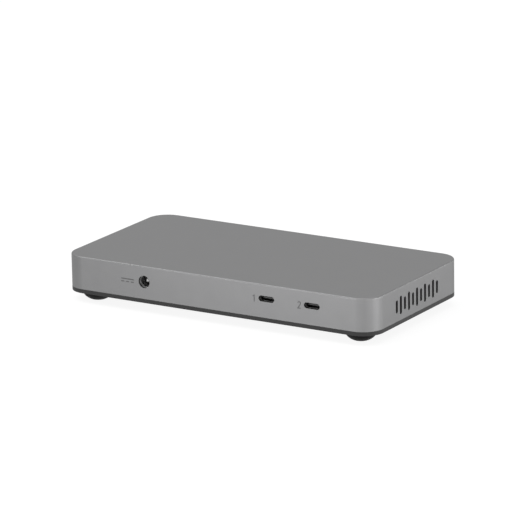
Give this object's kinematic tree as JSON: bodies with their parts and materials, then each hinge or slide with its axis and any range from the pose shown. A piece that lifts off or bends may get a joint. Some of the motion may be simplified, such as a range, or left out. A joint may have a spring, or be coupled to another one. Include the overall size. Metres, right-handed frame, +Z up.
{
  "type": "usb-c hub",
  "caption": "Flat desktop USB-C hub: aluminium housing with a vented end, ports along both long sides, dark base cover and dome feet.",
  "frame": {"origin": "middle of the hub's footprint, on the surface that the feet stand on", "axes": "+Z up, X along the hub with the vents at +X, the power jack's side faces -Y"},
  "size_m": [0.18, 0.0912, 0.0243],
  "materials": {
    "housing_aluminium": "grey anodised, bead blasted",
    "cover_plastic": "dark grey moulded, fine grain",
    "foot_rubber": "black matt",
    "screw_steel": "black zinc",
    "board_laminate": "dark solder mask",
    "connector_steel": "nickel plated",
    "connector_plastic": "black moulded",
    "jack_nickel": "nickel plated",
    "chip_plastic": "black moulded package",
    "thermal_pad": "soft silicone sheet",
    "spreader_aluminium": "bare",
    "inductor_core": "pressed iron powder",
    "capacitor_case": "black moulded",
    "crystal_can": "plated lid"
  },
  "bodies": {
    "root": {"top_housing": "housing_aluminium", "base_cover": "cover_plastic", "rubber_feet": "foot_rubber", "base_screws": "screw_steel", "main_board": "board_laminate", "usb_c_rear_inner_shell": "connector_steel", "usb_c_rear_inner_tongue": "connector_plastic", "usb_c_rear_outer_shell": "connector_steel", "usb_c_rear_outer_tongue": "connector_plastic", "usb_c_host_shell": "connector_steel", "usb_c_host_tongue": "connector_plastic", "usb_c_front_shell": "connector_steel", "usb_c_front_tongue": "connector_plastic", "usb_a_shell": "connector_steel", "usb_a_tongue": "connector_plastic", "power_jack_body": "connector_plastic", "power_jack_sleeve": "jack_nickel", "power_jack_pin": "jack_nickel", "hub_controller_chip": "chip_plastic", "controller_thermal_pad": "thermal_pad", "heat_spreader": "spreader_aluminium", "roof_thermal_pad": "thermal_pad", "firmware_flash_chip": "chip_plastic", "clock_crystal": "crystal_can", "power_inductor_1": "inductor_core", "port_power_chip_1": "chip_plastic", "polymer_capacitor_1": "capacitor_case", "power_inductor_2": "inductor_core", "port_power_chip_2": "chip_plastic", "polymer_capacitor_2": "capacitor_case", "power_inductor_3": "inductor_core", "port_power_chip_3": "chip_plastic", "polymer_capacitor_3": "capacitor_case", "power_inductor_4": "inductor_core", "port_power_chip_4": "chip_plastic", "polymer_capacitor_4": "capacitor_case"}
  },
  "joints": []
}
